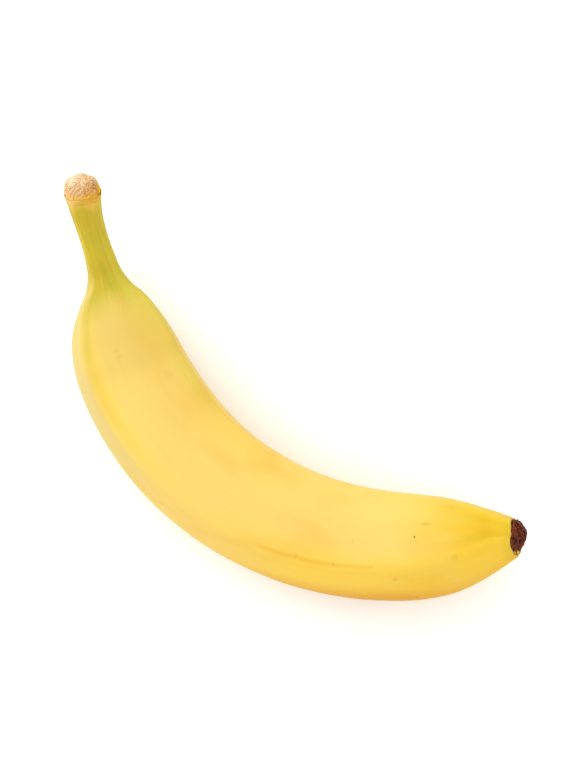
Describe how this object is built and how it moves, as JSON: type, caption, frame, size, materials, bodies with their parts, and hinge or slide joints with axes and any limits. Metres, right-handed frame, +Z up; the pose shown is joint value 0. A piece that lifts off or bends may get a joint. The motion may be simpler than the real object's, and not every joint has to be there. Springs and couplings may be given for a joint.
{
  "type": "banana",
  "caption": "Ripe yellow banana lying on its side, a curved, ridged fruit with a cut stem and a dried flower end, to be held, peeled and eaten.",
  "frame": {"origin": "the middle of the footprint on the surface that the banana lies on", "axes": "+X runs from the cut stem to the flower end, +Y is the side that the inner curve faces, so the belly is towards -Y, and +Z is up from the surface"},
  "size_m": [0.1812, 0.0682, 0.0357],
  "materials": {
    "peel": "satin"
  },
  "bodies": {
    "root": {"banana": "peel"}
  },
  "joints": []
}
